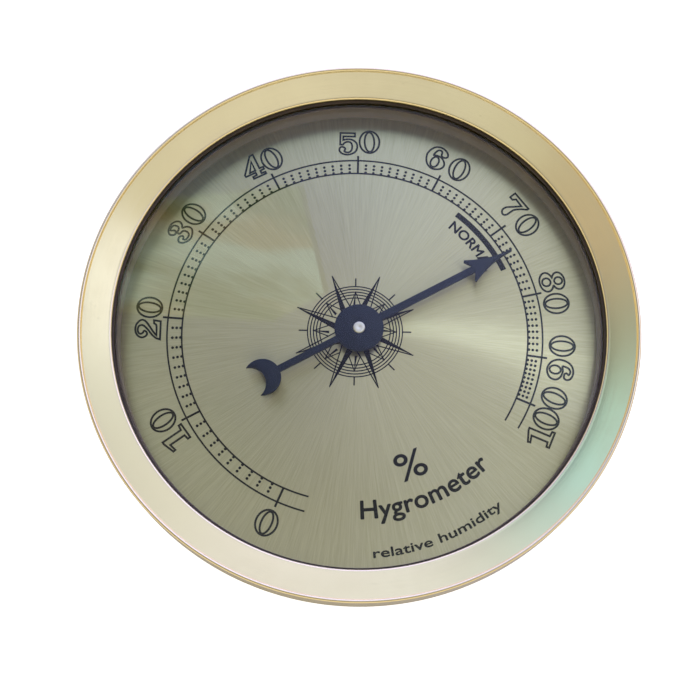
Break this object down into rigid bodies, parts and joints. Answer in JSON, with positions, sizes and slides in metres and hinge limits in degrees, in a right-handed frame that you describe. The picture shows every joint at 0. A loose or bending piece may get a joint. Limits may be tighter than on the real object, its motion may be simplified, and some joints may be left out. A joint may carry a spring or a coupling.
{
  "type": "dial hygrometer",
  "caption": "Round dial hygrometer with a sloping gold bezel, a brushed dial, a black arrow pointer driven by a humidity coil, and a vented rear cover with an adjuster.",
  "frame": {"origin": "on the spindle's axis, in the plane where the bezel's rear edge seats on a panel", "axes": "+Z out of the dial towards the viewer, +Y towards the dial's upright, so the case body lies below Z = 0"},
  "size_m": [0.0508, 0.0508, 0.0125],
  "materials": {
    "bezel_gold": "polished pale gold plating",
    "case_gold": "satin pale gold plating",
    "cover_brass": "satin brass",
    "gasket_rubber": "matt black",
    "lens_glass": "clear, glossy",
    "spacer_bronze": "satin dark bronze",
    "dial_brushed": "radially brushed, champagne, black print",
    "movement_brass": "turned, satin",
    "screw_steel": "turned, bright",
    "spring_steel": "rolled, satin",
    "adjuster_brass": "turned, bright",
    "coil_laminate": "coated strip, satin",
    "spindle_metal": "bright, pale",
    "pointer_black": "glossy blue-black paint"
  },
  "bodies": {
    "case": {"bezel": "bezel_gold", "lens_gasket": "gasket_rubber", "lens": "lens_glass", "spacer_ring": "spacer_bronze", "dial_plate": "dial_brushed", "dial_feet": "movement_brass", "movement_plate": "movement_brass", "front_bush": "movement_brass", "plate_screws": "screw_steel", "movement_pillars": "movement_brass", "rear_cover": "cover_brass", "cover_screws": "screw_steel", "case_body": "case_gold", "friction_washer": "spring_steel"},
    "adjuster": {"adjuster_screw": "adjuster_brass", "rear_bush": "movement_brass", "anchor_arm": "spring_steel", "coil_rivets": "movement_brass", "hygro_coil": "coil_laminate"},
    "spindle": {"spindle": "spindle_metal", "coil_collet": "movement_brass", "pointer_collet": "movement_brass", "pointer": "pointer_black"}
  },
  "joints": [
    {"name": "adjuster_turn", "type": "hinge", "parent": "case", "child": "adjuster", "pos_m": [0, 0, -0.0088], "axis": [0, 0, 1], "range_deg": [-40, 40]},
    {"name": "pointer_turn", "type": "hinge", "parent": "adjuster", "child": "spindle", "pos_m": [0, 0, 0], "axis": [0, 0, 1], "range_deg": [-51.8, 218.2], "stiffness_Nm_per_rad": 0.00025, "deforming": ["hygro_coil"]}
  ]
}
